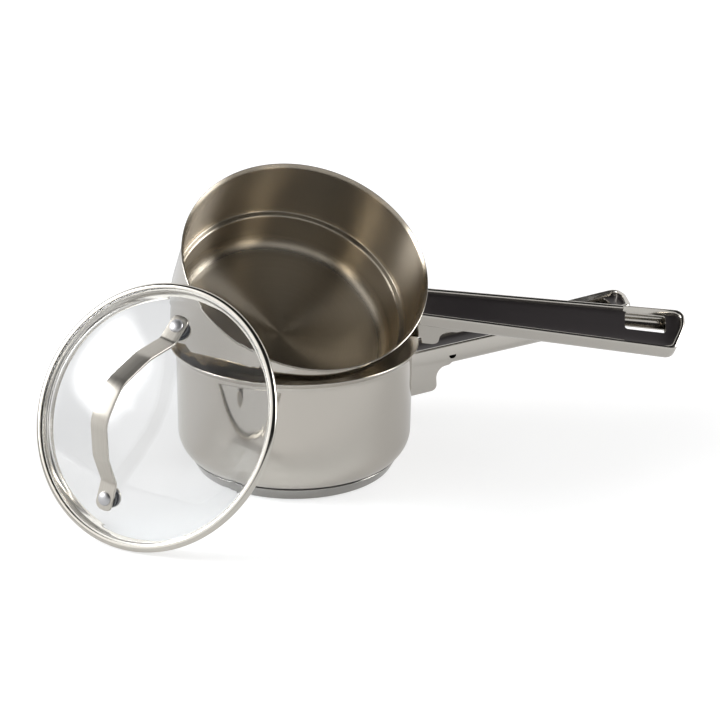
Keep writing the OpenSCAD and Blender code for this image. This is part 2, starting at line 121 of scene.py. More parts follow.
# Lid
LID_R = 86.1
BAND_T = 0.6
GLASS_T = 4.0
GLASS_PLAY = 0.2
GLASS_EDGE_R = 1.8
DOME_H = 22.8
DOME_R = 190.0
DOME_SLOPE = 21.0
SHOULDER_SLOPE = 40.0
SHOULDER_FOOT_R = 81.0
FLANGE_W = 3.8
SKIRT_PLAY = 0.8
SKIRT_H = 4.8
SKIRT_LEAN = 0.7
HEM_W = 2.0
LID_TILT = 61.463
LID_TURN = -25.69
BAND_HALF = GLASS_T / 2 + BAND_T
LID_CENTRE = (-84.764, -107.799, 76.155)

# Lid handle and its rivets
RIVET_REACH = 57.3
STRAP_W = 12.0
STRAP_T = 2.0
STRAP_H = 42.6
FOOT_TAIL = 7.5
FOOT_NOSE = 11.3
GRIP_HALF = 12.0
KNEE_REACH = 33.0
KNEE_H = 23.6
STRAP_TURN = -100.6
STRAP_EDGE_R = 0.6
FOOT_CORNER_R = 4.0
RIVET_R = 2.5
RIVET_HEAD_R = 4.6
RIVET_HEAD_H = 2.4
GASKET_R = 6.8
GASKET_T = 1.4
WASHER_T = 1.0

# Camera, fitted to the photograph's three rims
CAMERA_AT = (45.21, -1117.1, 504.72)
CAMERA_DOWN = 21.053
CAMERA_ROLL = 0.854
CAMERA_LENS = 86.58
SENSOR = 36.0


def degrees_sin_cos(angle):
    return math.sin(math.radians(angle)), math.cos(math.radians(angle))


def placed(centre, tilt, turn):
    """Matrix that tilts a piece about X, turns it about Z and moves it to its centre."""
    move = Matrix.Translation(Vector(centre) * MM)
    return move @ Matrix.Rotation(math.radians(turn), 4, "Z") @ Matrix.Rotation(math.radians(tilt), 4, "X")


UPRIGHT = Matrix.Identity(4)
AT_INSERT = placed(INSERT_CENTRE, INSERT_TILT, INSERT_TURN)
AT_LID = placed(LID_CENTRE, LID_TILT, LID_TURN)
AT_STRAP = AT_LID @ Matrix.Rotation(math.radians(STRAP_TURN), 4, "Z")


# Paths of corners, each with a radius, as in a turner's drawing
def cross(a, b):
    return a.x * b.y - a.y * b.x


def bend(before, here, after, count=0):
    """Points of the arc that rounds a corner."""
    corner = Vector(here[:2])
    if here[2] <= 0:
        return [corner]
    u = (Vector(before[:2]) - corner).normalized()
    v = (Vector(after[:2]) - corner).normalized()
    half = math.acos(max(-1.0, min(1.0, u.dot(v)))) / 2
    middle = corner + (u + v).normalized() * here[2] / math.sin(half)
    start = corner + u * here[2] / math.tan(half) - middle
    turn = (math.pi - 2 * half) * (1 if cross(-u, v) > 0 else -1)
    step = 4.0 if here[2] > 3 else 12.0
    count = count or max(3, math.ceil(abs(math.degrees(turn)) / step))
    return [middle + Matrix.Rotation(turn * k / count, 2) @ start for k in range(count + 1)]


def rounded(corners, counts=None):
    """An open path with its corners rounded."""
    points = [Vector(corners[0][:2])]
    for i in range(1, len(corners) - 1):
        points += bend(corners[i - 1], corners[i], corners[i + 1], counts[i] if counts else 0)
    return points + [Vector(corners[-1][:2])]


def rounded_loop(corners):
    """A closed path with its corners rounded."""
    points = []
    for i, corner in enumerate(corners):
        points += bend(corners[i - 1], corner, corners[(i + 1) % len(corners)])
    return points


def shifted(corners, t):
    """The same path moved by t to its left, with its radii changed to suit."""
    flat = [Vector(c[:2]) for c in corners]
    lefts = []
    for a, b in zip(flat, flat[1:]):
        d = (b - a).normalized()
        lefts.append(Vector((-d.y, d.x)))
    moved = [(flat[0] + t * lefts[0], 0.0)]
    for i in range(1, len(flat) - 1):
        a, b = lefts[i - 1], lefts[i]
        way = 1 if cross(flat[i] - flat[i - 1], flat[i + 1] - flat[i]) > 0 else -1
        r = corners[i][2]
        moved.append((flat[i] + t * (a + b) / (1 + a.dot(b)), r - t * way if r > 0 else 0.0))
    moved.append((flat[-1] + t * lefts[-1], 0.0))
    return [(p.x, p.y, r) for p, r in moved]


def sheet_outline(corners, t, start_r=0.0, end_r=0.3):
    """Outline of a sheet to the left of a path; also the number of its points on the path's side."""
    far = shifted(corners, t)
    path = [(*corners[0][:2], start_r)] + list(corners[1:-1]) + [(*corners[-1][:2], end_r)]
    back = [(*far[-1][:2], end_r)] + far[-2:0:-1] + [(*far[0][:2], start_r)]
    whole = path + back
    near_side = []
    for i in range(len(path)):
        near_side += bend(whole[i - 1], whole[i], whole[i + 1])
    return rounded_loop(whole), len(near_side)


# Meshes
def finished(name, bm, matrix, materials, sharp=32.0):
    """Puts a mesh in its place and makes it smooth but for its sharp edges."""
    bm.transform(matrix)
    mesh = bpy.data.meshes.new(name)
    bm.to_mesh(mesh)
    bm.free()
    return linked(name, mesh, materials, sharp)


def linked(name, mesh, materials, sharp=32.0):
    for polygon in mesh.polygons:
        polygon.use_smooth = True
    mesh.set_sharp_from_angle(angle=math.radians(sharp))
    for finish in materials:
        mesh.materials.append(finish)
    piece = bpy.data.objects.new(name, mesh)
    bpy.context.scene.collection.objects.link(piece)
    return piece


def revolved(name, outline, matrix, materials, starts=(), around=256):
    """A closed outline turned about the axis, with U round the axis and V along the outline.
    Each further material takes over at one of the outline's point numbers in starts."""
    bm = bmesh.new()
    uv = bm.loops.layers.uv.new("turned")
    rings = []
    for p in outline:
        if abs(p.x) < 1e-6:
            rings.append([bm.verts.new((0, 0, p.y * MM))] * around)
            continue
        ring = []
        for k in range(around):
            s, c = math.sin(2 * math.pi * k / around), math.cos(2 * math.pi * k / around)
            ring.append(bm.verts.new((p.x * c * MM, p.x * s * MM, p.y * MM)))
        rings.append(ring)
    run = [0.0]
    for a, b in zip(outline, outline[1:] + outline[:1]):
        run.append(run[-1] + (b - a).length)
    for i in range(len(outline)):
        low, high = rings[i], rings[(i + 1) % len(rings)]
        for k in range(around):
            j = (k + 1) % around
            corners = [(low[k], k, 0), (low[j], k + 1, 0), (high[j], k + 1, 1), (high[k], k, 1)]
            kept = []
            for vert, turn, end in corners:
                if not kept or all(vert is not other[0] for other in kept):
                    kept.append((vert, turn, end))
            if len(kept) < 3:
                continue
            face = bm.faces.new([item[0] for item in kept])
            face.material_index = sum(i >= start for start in starts)
            for loop, item in zip(face.loops, kept):
                loop[uv].uv = (item[1] / around, (run[i] + (run[i + 1] - run[i]) * item[2]) * MM)
    bmesh.ops.recalc_face_normals(bm, faces=bm.faces)
    return finished(name, bm, matrix, materials)


# Handles, in a frame with X out along the top edges, Y to the left and Z up from the top edges
def half_width(s):
    return (HANDLE_W_ROOT + (HANDLE_W_TIP - HANDLE_W_ROOT) * s / HANDLE_LEN) / 2


class PanHandle:
    """Where a handle sits: its matrix, and how its pieces end just inside the pan's wall."""

    def __init__(self, base, rim_r, wall_r, turn, slope):
        self.rim_r, self.wall_r = rim_r, wall_r - INTO_WALL
        self.sin, self.cos = degrees_sin_cos(slope)
        out = Matrix.Translation(Vector((rim_r, 0, -HANDLE_DROP)) * MM)
        self.matrix = (base @ Matrix.Rotation(math.radians(turn), 4, "Z") @ out
                       @ Matrix.Rotation(math.radians(-slope), 4, "Y"))

    def wall_at(self, y, z):
        return (math.sqrt(self.wall_r ** 2 - y * y) - self.rim_r + self.sin * z) / self.cos


SAUCEPAN_HANDLE = PanHandle(Matrix.Translation((0, 0, PAN_H * MM)), PAN_LIP_R, PAN_R,
                            PAN_HANDLE_TURN, PAN_HANDLE_SLOPE)
INSERT_HANDLE = PanHandle(AT_INSERT, INSERT_RIM_R, INSERT_TOP_R, INSERT_HANDLE_TURN, INSERT_HANDLE_SLOPE)
STATIONS = [4, 12, 24, 36, 48, 60, 72, 84, 96, 108, 120, 132, 141.6, 142.4, 150, 158, 166]


def plan_line(handle, inset, z, lean=0.0):
    """The handle's plan at height z, drawn in by inset: from the wall round the tip and back."""
    e = HANDLE_LEN - inset
    r = TIP_R - inset / 2
    right, left = half_width(e - TIP_CUT) - inset, half_width(e) - inset
    tip = rounded([(0, inset - half_width(0), 0), (e - TIP_CUT, -right, r), (e, TIP_SIDE, 4 * r),
                   (e, left, r), (0, half_width(0) - inset, 0)], [0, 10, 6, 14, 0])[1:-1]
    y = half_width(-6) - inset
    start = handle.wall_at(y, z)
    line = [(start, -half_width(start) + inset)] + [(s, inset - half_width(s)) for s in STATIONS]
    line += [tuple(p) for p in tip]
    line += [(s, half_width(s) - inset) for s in STATIONS[::-1]] + [(start, half_width(start) - inset)]
    if lean:
        flared = []
        for s, y in line:
            limit = half_width(s) - FLARE_TOP + FLARE_RUN * max(z, -PLATE_SINK) / PLATE_SINK
            if s > SLOT_START - SLOT_R:
                y = math.copysign(limit if s <= STATIONS[-1] else min(limit, abs(y)), y)
            flared.append((s, y))
        line = flared
    return [Vector((s * MM, y * MM, z * MM)) for s, y in line]


def quarter(centre, r, start, count):
    """Points of a quarter turn about a centre, from an angle on, clockwise."""
    return [(centre[0] + r * math.cos(math.radians(start - 90 * k / count)),
             centre[1] + r * math.sin(math.radians(start - 90 * k / count))) for k in range(count + 1)]


def shell_profile():
    """(inset, height, leans) round the section of the handle's wall, from under to inside."""
    outside = quarter((UNDER_R, UNDER_R - HANDLE_DEPTH), UNDER_R, 270, 8)
    edge = quarter((BEAD_R, -BEAD_R), BEAD_R, 180, 6)
    lip = quarter((BEAD_R, -BEAD_R), BEAD_R, 90, 6)
    cavity = -PLATE_SINK - PLATE_T - 1
    inside = quarter((UNDER_R, UNDER_R - HANDLE_DEPTH), UNDER_R - WALL_T, 270, 8)[::-1]
    points = [(d, z, 0) for d, z in outside + edge]
    points += [(d, z, 1) for d, z in lip[1:]] + [(2 * BEAD_R, -PLATE_SINK, 1), (2 * BEAD_R, cavity + 0.5, 1)]
    return points + [(WALL_T, cavity, 0)] + [(d, z, 0) for d, z in inside]


def within(point, line):
    """Whether a point lies inside a closed line."""
    inside = False
    for a, b in zip(line, line[1:] + line[:1]):
        if (a.y > point.y) != (b.y > point.y) and point.x < a.x + (point.y - a.y) * (b.x - a.x) / (b.y - a.y):
            inside = not inside
    return inside


def triangles(outer, inner, more=()):
    """Triangles between a closed line and a hole in it, over more points: their points and corners."""
    n, m = len(outer), len(inner)
    lines = [(k, (k + 1) % n) for k in range(n)] + [(n + k, n + (k + 1) % m) for k in range(m)]
    points, _, faces, sources, _, _ = delaunay_2d_cdt([*outer, *inner, *more], lines, [], 0, 1e-5)
    kept = []
    for face in faces:
        middle = (points[face[0]] + points[face[1]] + points[face[2]]) / 3
        if within(middle, outer) and not (inner and within(middle, inner)):
            kept.append(list(face))
    return points, kept, sources


def flat_faces(bm, outer, inner, plane):
    """Fills between a closed line of vertices and a hole in it."""
    flat = [[Vector([getattr(v.co, axis) / MM for axis in plane]) for v in part] for part in (outer, inner)]
    _, faces, sources = triangles(*flat)
    for face in faces:
        bm.faces.new([(outer + inner)[sources[i][0]] for i in face])


def under_opening():
    """Corners of the opening under the slot; one is cut back with the tip's right corner."""
    w = half_width(SLOT_START) - UNDER_R - 0.3
    a, b = SLOT_START - SLOT_R, SLOT_START + SLOT_LEN + SLOT_R
    return [(a, -w), (b - 6.5, -w), (b, -0.5), (b, w), (a, w)]


def handle_shell(name, handle, finish):
    bm = bmesh.new()
    rings = [[bm.verts.new(p) for p in plan_line(handle, d, z, lean)] for d, z, lean in shell_profile()]
    for low, high in zip(rings, rings[1:]):
        for k in range(len(low) - 1):
            bm.faces.new((low[k], low[k + 1], high[k + 1], high[k]))
    roots, holes = [], []
    for ring in (rings[0], rings[-1]):
        z = ring[0].co.z / MM
        reach = ring[-1].co.y / MM
        root = [bm.verts.new((handle.wall_at(y, z) * MM, y * MM, z * MM))
                for y in (reach * k / 4 for k in (3, 2, 1, 0, -1, -2, -3))]
        hole = [bm.verts.new((x * MM, y * MM, z * MM)) for x, y in under_opening()]
        whole = ring + root
        flat_faces(bm, whole, hole, "xy")
        roots.append(root)
        holes.append(hole)
    for k in range(len(holes[0])):
        j = (k + 1) % len(holes[0])
        bm.faces.new((holes[0][k], holes[0][j], holes[1][j], holes[1][k]))
    bm.faces.new([ring[0] for ring in rings] + roots[1][::-1] + [ring[-1] for ring in rings[::-1]] + roots[0])
    bmesh.ops.recalc_face_normals(bm, faces=bm.faces)
    return finished(name, bm, handle.matrix, [finish])


def slot_line():
    a, b, w = SLOT_START, SLOT_START + SLOT_LEN, SLOT_W / 2
    corners = [(a, SLOT_SIDE - w), (b, SLOT_SIDE - w), (b, SLOT_SIDE + w), (a, SLOT_SIDE + w)]
    return rounded_loop([(x, y, SLOT_R) for x, y in corners])


def trough_height(s, y):
    def axis_height(at):
        return math.sqrt(TROUGH_R ** 2 - (half_width(at) - EDGE_W) ** 2) - PLATE_SINK
    low, high = axis_height(0), axis_height(HANDLE_LEN)
    return low + (high - low) * s / HANDLE_LEN - math.sqrt(TROUGH_R ** 2 - y * y)


def handle_plate(name, handle, finish, bare):
    """The concave plate let into the top, with the slot through it; its underside stays bare."""
    inset = EDGE_W - 0.2
    edge = [Vector((p.x / MM, p.y / MM)) for p in plan_line(handle, inset, -PLATE_SINK)]
    reach = edge[-1].y
    edge += [Vector((handle.wall_at(y, -PLATE_SINK), y)) for y in (reach * k / 4 for k in (3, 2, 1, 0, -1, -2, -3))]
    slot = slot_line()
    grid = []
    for i in range(48):
        for j in range(-12, 13):
            s, y = i * 3.8 + 0.5, j * 1.35
            near_slot = (SLOT_START - 1.2 < s < SLOT_START + SLOT_LEN + 1.2
                         and abs(y - SLOT_SIDE) < SLOT_W / 2 + 1.0)
            past_tip = s > HANDLE_LEN - 12 and y < -4 or s > HANDLE_LEN - 8 and abs(y) > 6
            if abs(y) < half_width(s) - inset - 0.9 and s < HANDLE_LEN - 3.2 and not near_slot and not past_tip:
                grid.append(Vector((s, y)))
    flat, faces, _ = triangles(edge, slot, grid)
    bm = bmesh.new()
    uv = bm.loops.layers.uv.new("along")
    tops = [bm.verts.new((p.x * MM, p.y * MM, trough_height(p.x, p.y) * MM)) for p in flat]
    lows = [bm.verts.new(v.co - Vector((0, 0, PLATE_T * MM))) for v in tops]
    for face in faces:
        bm.faces.new([tops[i] for i in face])
        bm.faces.new([lows[i] for i in reversed(face)]).material_index = 1
    pairs = {}
    for face in faces:
        for a, b in zip(face, face[1:] + face[:1]):
            pairs[(a, b)] = True
    for a, b in pairs:
        if (b, a) not in pairs:
            bm.faces.new((tops[a], lows[a], lows[b], tops[b])).material_index = 1
    for v in [v for v in bm.verts if not v.link_faces]:
        bm.verts.remove(v)
    bmesh.ops.recalc_face_normals(bm, faces=bm.faces)
    for face in bm.faces:
        for loop in face.loops:
            loop[uv].uv = (loop.vert.co.x, loop.vert.co.y)
    return finished(name, bm, handle.matrix, [finish, bare])


def bracket_line(inset, notch):
    """Side view of the bracket beyond the wall, from its lower inner end round to its top end."""
    foot, low = BRACKET_FOOT - inset, inset - BRACKET_H
    under_vent = -VENT_DROP - VENT_R - 0.5
    corners = [(NOTCH_LEN - 3, low + notch, 0), (NOTCH_LEN - 1.5 + inset, low + notch, 0),
               (NOTCH_LEN + inset, low, 0), (foot, low, BRACKET_CORNER_R - inset),
               (foot, inset - HANDLE_DEPTH, BRACKET_CURVE_R + inset),
               (BRACKET_END - 6.5, inset - HANDLE_DEPTH, 2), (BRACKET_END, under_vent, 0),
               (BRACKET_END - 10, under_vent, 0), (BRACKET_END - 16, -HANDLE_DEPTH / 2, 0)]
    return rounded(corners, [0, 0, 0, 8, 10, 3, 0, 0, 0])


def bracket(name, handle, notch, finish):
    """The stamped bracket under the handle, with softened edges, ending on the pan's wall."""
    bm = bmesh.new()
    half = HANDLE_W_ROOT / 2 - 0.2
    soft = 0.9
    sides = []
    for k in range(5):
        s, c = degrees_sin_cos(22.5 * k)
        sides.append((soft * (1 - s), half - soft * (1 - c)))
    sides = sides + [(0.0, y) for y in (6, 2)]
    sides = sides + [(d, -y) for d, y in sides[::-1]]
    rings = []
    for inset, y in sides:
        line = bracket_line(inset, notch)
        low = line[0].y
        wall = [(handle.wall_at(y, z), z) for z in
                (low + (-HANDLE_DEPTH / 2 - low) * k / 6 for k in range(6, -1, -1))]
        rings.append([bm.verts.new((x * MM, y * MM, z * MM)) for x, z in wall + [tuple(p) for p in line]])
    for low, high in zip(rings, rings[1:]):
        for k in range(len(low)):
            j = (k + 1) % len(low)
            bm.faces.new((low[k], low[j], high[j], high[k]))
    for ring in (rings[0], rings[-1]):
        flat_faces(bm, ring, [], "xz")
    bmesh.ops.recalc_face_normals(bm, faces=bm.faces)
    return finished(name, bm, handle.matrix, [finish])


def with_vent(piece, handle):
    """Cuts the half-round vent through the right side of a handle."""
    bm = bmesh.new()
    line = [(VENT_REACH + VENT_R * math.cos(math.radians(a)), VENT_R * math.sin(math.radians(a)) - VENT_DROP)
            for a in range(180, 361, 15)]
    ends = [[bm.verts.new((x * MM, y * MM, z * MM)) for x, z in line] for y in (-20, -5)]
    for k in range(len(line)):
        j = (k + 1) % len(line)
        bm.faces.new((ends[0][k], ends[0][j], ends[1][j], ends[1][k]))
    bm.faces.new(ends[0])
    bm.faces.new(ends[1])
    bmesh.ops.recalc_face_normals(bm, faces=bm.faces)
    cutter = finished("vent_cutter", bm, handle.matrix, [])
    cut = piece.modifiers.new("vent", "BOOLEAN")
    cut.operation, cut.solver, cut.object = "DIFFERENCE", "EXACT", cutter
    return plain(piece, [cutter])


def plain(piece, tools=()):
    """The piece with its modifiers made into a plain mesh; helper objects are removed."""
    depsgraph = bpy.context.evaluated_depsgraph_get()
    mesh = bpy.data.meshes.new_from_object(piece.evaluated_get(depsgraph))
    name, materials = piece.name, [m for m in piece.data.materials]
    for other in [piece, *tools]:
        bpy.data.objects.remove(other)
    mesh.materials.clear()
    made = linked(name, mesh, materials)
    made.name = name
    return made


# Geometry Nodes: pieces that repeat at the rivets, and the strip that follows the strap's path
def nodes_tree(name, inputs):
    """A tree with a geometry input and named inputs of (kind, socket type)."""
    tree = bpy.data.node_groups.new(name, "GeometryNodeTree")
    tree.interface.new_socket(name="Geometry", in_out="INPUT", socket_type="NodeSocketGeometry")
    for label, kind in inputs.items():
        tree.interface.new_socket(name=label, in_out="INPUT", socket_type="NodeSocket" + kind)
    tree.interface.new_socket(name="Geometry", in_out="OUTPUT", socket_type="NodeSocketGeometry")
    return tree, node(tree, "NodeGroupInput").outputs


def grown(name, mesh, tree, values, matrix, finish, sharp=32.0):
    """Runs a tree on a mesh and returns the result as a plain piece in its place."""
    holder = bpy.data.objects.new(name, mesh)
    bpy.context.scene.collection.objects.link(holder)
    grow = holder.modifiers.new(name, "NODES")
    grow.node_group = tree
    for socket in tree.interface.items_tree:
        if socket.in_out == "INPUT" and socket.name in values:
            grow[socket.identifier] = values[socket.name]
        if socket.in_out == "INPUT" and socket.name == "Material":
            grow[socket.identifier] = finish
    depsgraph = bpy.context.evaluated_depsgraph_get()
    result = bpy.data.meshes.new_from_object(holder.evaluated_get(depsgraph))
    bpy.data.objects.remove(holder)
    bm = bmesh.new()
    bm.from_mesh(result)
    bmesh.ops.recalc_face_normals(bm, faces=bm.faces)
    return finished(name, bm, matrix, [finish], sharp)


def two_rivet_points(tree, given):
    """Both rivet places, and for each the turn that sets it square to the glass."""
    left = node(tree, "ShaderNodeMath", {0: given["Reach"], 1: -1.0}, operation="MULTIPLY")
    span = node(tree, "ShaderNodeMath", {0: given["Reach"], 1: 2.0}, operation="MULTIPLY")
    start = node(tree, "ShaderNodeCombineXYZ", {"X": left.outputs[0], "Z": given["Height"]})
    offset = node(tree, "ShaderNodeCombineXYZ", {"X": span.outputs[0]})
    line = node(tree, "GeometryNodeMeshLine", {
        "Count": 2, "Start Location": start.outputs[0], "Offset": offset.outputs[0]}, mode="OFFSET")
    index = node(tree, "GeometryNodeInputIndex")
    side = node(tree, "ShaderNodeMath", {0: index.outputs[0], 1: 2.0, 2: -1.0}, operation="MULTIPLY_ADD")
    angle = node(tree, "ShaderNodeMath", {0: side.outputs[0], 1: given["Slope"]}, operation="MULTIPLY")
    return line.outputs["Mesh"], node(tree, "ShaderNodeCombineXYZ", {"Y": angle.outputs[0]}).outputs[0]


def finish_tree(tree, given, points, turn, shape):
    copies = node(tree, "GeometryNodeInstanceOnPoints", {"Points": points, "Instance": shape, "Rotation": turn})
    real = node(tree, "GeometryNodeRealizeInstances", {"Geometry": copies.outputs["Instances"]})
    done = node(tree, "GeometryNodeSetMaterial", {"Geometry": real.outputs[0], "Material": given["Material"]})
    node(tree, "NodeGroupOutput", {"Geometry": done.outputs[0]})


def discs_tree():
    """A flat disc at each rivet, such as a gasket or a washer."""
    tree, given = nodes_tree("discs_at_the_rivets", {
        "Reach": "Float", "Height": "Float", "Slope": "Float", "Level": "Float", "Radius": "Float",
        "Thickness": "Float", "Material": "Material"})
    points, turn = two_rivet_points(tree, given)
    disc = node(tree, "GeometryNodeMeshCylinder", {
        "Vertices": 64, "Radius": given["Radius"], "Depth": given["Thickness"]})
    middle = node(tree, "ShaderNodeMath", {0: given["Thickness"], 1: 0.5, 2: given["Level"]},
                  operation="MULTIPLY_ADD")
    up = node(tree, "ShaderNodeCombineXYZ", {"Z": middle.outputs[0]})
    lifted = node(tree, "GeometryNodeTransform", {"Geometry": disc.outputs["Mesh"], "Translation": up.outputs[0]})
    finish_tree(tree, given, points, turn, lifted.outputs[0])
    return tree


def rivets_tree():
    """A rivet at each place: domed head on the strap, shank, and closed end under the washer."""
    tree, given = nodes_tree("rivets_of_the_strap", {
        "Reach": "Float", "Height": "Float", "Slope": "Float", "Head Level": "Float", "End Level": "Float",
        "Shank Radius": "Float", "Head Radius": "Float", "Head Height": "Float", "End Radius": "Float",
        "End Height": "Float", "Material": "Material"})
    points, turn = two_rivet_points(tree, given)
    parts = node(tree, "GeometryNodeJoinGeometry")
    for level, radius, height in (("Head Level", "Head Radius", "Head Height"),
                                  ("End Level", "End Radius", "End Height")):
        ball = node(tree, "GeometryNodeMeshUVSphere", {"Segments": 48, "Rings": 24, "Radius": 1.0})
        size = node(tree, "ShaderNodeCombineXYZ", {"X": given[radius], "Y": given[radius], "Z": given[height]})
        place = node(tree, "ShaderNodeCombineXYZ", {"Z": given[level]})
        head = node(tree, "GeometryNodeTransform", {
            "Geometry": ball.outputs["Mesh"], "Translation": place.outputs[0], "Scale": size.outputs[0]})
        tree.links.new(head.outputs[0], parts.inputs[0])
    length = node(tree, "ShaderNodeMath", {0: given["Head Level"], 1: given["End Level"]}, operation="SUBTRACT")
    total = node(tree, "ShaderNodeMath", {0: given["Head Level"], 1: given["End Level"]}, operation="ADD")
    middle = node(tree, "ShaderNodeMath", {0: total.outputs[0], 1: 0.5}, operation="MULTIPLY")
    shank = node(tree, "GeometryNodeMeshCylinder", {
        "Vertices": 32, "Radius": given["Shank Radius"], "Depth": length.outputs[0]})
    up = node(tree, "ShaderNodeCombineXYZ", {"Z": middle.outputs[0]})
    body = node(tree, "GeometryNodeTransform", {"Geometry": shank.outputs["Mesh"], "Translation": up.outputs[0]})
    tree.links.new(body.outputs[0], parts.inputs[0])
    finish_tree(tree, given, points, turn, parts.outputs[0])
    return tree


def strip_tree():
    """A flat strip with softened edges that follows the given path, with its feet's corners rounded."""
    tree, given = nodes_tree("strip_along_a_path", {
        "Width": "Float", "Thickness": "Float", "Edge Radius": "Float", "Corner Radius": "Float",
        "Reach": "Float", "Material": "Material"})
    path = node(tree, "GeometryNodeMeshToCurve", {"Mesh": given["Geometry"]})
    box = node(tree, "GeometryNodeCurvePrimitiveQuadrilateral", {
        "Width": given["Width"], "Height": given["Thickness"]}, mode="RECTANGLE")
    soft = node(tree, "GeometryNodeFilletCurve", {
        "Curve": box.outputs["Curve"], "Radius": given["Edge Radius"], "Count": 4}, mode="POLY")
    strip = node(tree, "GeometryNodeCurveToMesh", {
        "Curve": path.outputs["Curve"], "Profile Curve": soft.outputs["Curve"], "Fill Caps": True})
    where = node(tree, "GeometryNodeInputPosition")
    parts = node(tree, "ShaderNodeSeparateXYZ", {"Vector": where.outputs[0]})
    out = node(tree, "ShaderNodeMath", {0: parts.outputs["X"]}, operation="ABSOLUTE")
    inner = node(tree, "ShaderNodeMath", {0: given["Reach"], 1: given["Corner Radius"]}, operation="SUBTRACT")
    past = node(tree, "ShaderNodeMath", {0: out.outputs[0], 1: inner.outputs[0]}, operation="SUBTRACT")
    past = node(tree, "ShaderNodeMath", {0: past.outputs[0], 1: 0.0}, operation="MAXIMUM")
    share = node(tree, "ShaderNodeMath", {0: past.outputs[0], 1: given["Corner Radius"]}, operation="DIVIDE")
    share = node(tree, "ShaderNodeMath", {0: share.outputs[0], 1: 1.0}, operation="MINIMUM")
    square = node(tree, "ShaderNodeMath", {0: share.outputs[0], 1: 2.0}, operation="POWER")
    rest = node(tree, "ShaderNodeMath", {0: 1.0, 1: square.outputs[0]}, operation="SUBTRACT")
    root = node(tree, "ShaderNodeMath", {0: rest.outputs[0]}, operation="SQRT")
    lost = node(tree, "ShaderNodeMath", {0: 1.0, 1: root.outputs[0]}, operation="SUBTRACT")
    lost = node(tree, "ShaderNodeMath", {0: lost.outputs[0], 1: given["Corner Radius"]}, operation="MULTIPLY")
    half = node(tree, "ShaderNodeMath", {0: given["Width"], 1: 0.5}, operation="MULTIPLY")
    scale = node(tree, "ShaderNodeMath", {0: lost.outputs[0], 1: half.outputs[0]}, operation="DIVIDE")
    scale = node(tree, "ShaderNodeMath", {0: 1.0, 1: scale.outputs[0]}, operation="SUBTRACT")
    across = node(tree, "ShaderNodeMath", {0: parts.outputs["Y"], 1: scale.outputs[0]}, operation="MULTIPLY")
    target = node(tree, "ShaderNodeCombineXYZ", {
        "X": parts.outputs["X"], "Y": across.outputs[0], "Z": parts.outputs["Z"]})
    shaped = node(tree, "GeometryNodeSetPosition", {"Geometry": strip.outputs["Mesh"], "Position": target.outputs[0]})
    real = node(tree, "GeometryNodeRealizeInstances", {"Geometry": shaped.outputs[0]})
    done = node(tree, "GeometryNodeSetMaterial", {"Geometry": real.outputs[0], "Material": given["Material"]})
    node(tree, "NodeGroupOutput", {"Geometry": done.outputs[0]})
    return tree


# Colours and materials
def linear(code, alpha=1.0):
    """Linear colour of an sRGB hex code."""
    out = []
    for i in (0, 2, 4):
        v = int(code[i:i + 2], 16) / 255
        out.append(v / 12.92 if v <= 0.04045 else ((v + 0.055) / 1.055) ** 2.4)
    return (*out, alpha)


def node(tree, kind, inputs=None, **settings):
    """Adds a node with its settings; inputs that are sockets are linked, others set."""
    made = tree.nodes.new(kind)
    for key, value in settings.items():
        setattr(made, key, value)
    for key, value in (inputs or {}).items():
        if isinstance(value, bpy.types.NodeSocket):
            tree.links.new(value, made.inputs[key])
        else:
            made.inputs[key].default_value = value
    return made


def material(name):
    made = bpy.data.materials.new(name)
    made.use_nodes = True
    made.node_tree.nodes.clear()
    return made, made.node_tree


def polished_steel(name, colour, smear_mm, rough_low, rough_high):
    """Mirror-polished stainless steel: a clear warm reflection, a little blurred by wiping smears."""
    made, tree = material(name)
    place = node(tree, "ShaderNodeTexCoord")
    smears = node(tree, "ShaderNodeTexNoise", {
        "Vector": place.outputs["Object"], "Scale": 1000.0 / smear_mm, "Detail": 3.0, "Roughness": 0.55})
    rough = node(tree, "ShaderNodeMapRange", {
        "Value": smears.outputs["Fac"], "From Min": 0.3, "From Max": 0.7, "To Min": rough_low,
        "To Max": rough_high})
    shader = node(tree, "ShaderNodeBsdfPrincipled", {
        "Base Color": linear(colour), "Metallic": 1.0, "Roughness": rough.outputs["Result"]})
    node(tree, "ShaderNodeOutputMaterial", {"Surface": shader.outputs["BSDF"]})
    return made


def turned_satin_steel(name, colour, line_mm, rough_low, rough_high):
    """Stainless steel ground while it turns: fine lines run round the piece, so highlights stretch
    across them, as a fan on the bottom and as upright bands on the wall. The real lines are about
    0.1 mm apart, and are drawn coarser so that they show."""
    made, tree = material(name)
    uv = node(tree, "ShaderNodeUVMap", uv_map="turned")
    stretch = node(tree, "ShaderNodeMapping", {
        "Vector": uv.outputs["UV"], "Scale": (3.0, 1000.0 / line_mm, 1.0)})
    lines = node(tree, "ShaderNodeTexNoise", {
        "Vector": stretch.outputs["Vector"], "Scale": 1.0, "Detail": 4.0, "Roughness": 0.65})
    rough = node(tree, "ShaderNodeMapRange", {
        "Value": lines.outputs["Fac"], "From Min": 0.3, "From Max": 0.7, "To Min": rough_low,
        "To Max": rough_high})
    tint = node(tree, "ShaderNodeMix", {
        "Factor": lines.outputs["Fac"], "A": linear(colour[0]), "B": linear(colour[1])}, data_type="RGBA")
    tangent = node(tree, "ShaderNodeTangent", direction_type="UV_MAP", uv_map="turned")
    height = node(tree, "ShaderNodeBump", {
        "Height": lines.outputs["Fac"], "Strength": 0.03, "Distance": 0.00002})
    shader = node(tree, "ShaderNodeBsdfPrincipled", {
        "Base Color": tint.outputs["Result"], "Metallic": 1.0, "Roughness": rough.outputs["Result"],
        "Anisotropic": 1.0, "Anisotropic Rotation": 0.25, "Tangent": tangent.outputs["Tangent"],
        "Normal": height.outputs["Normal"]})
    node(tree, "ShaderNodeOutputMaterial", {"Surface": shader.outputs["BSDF"]})
    return made


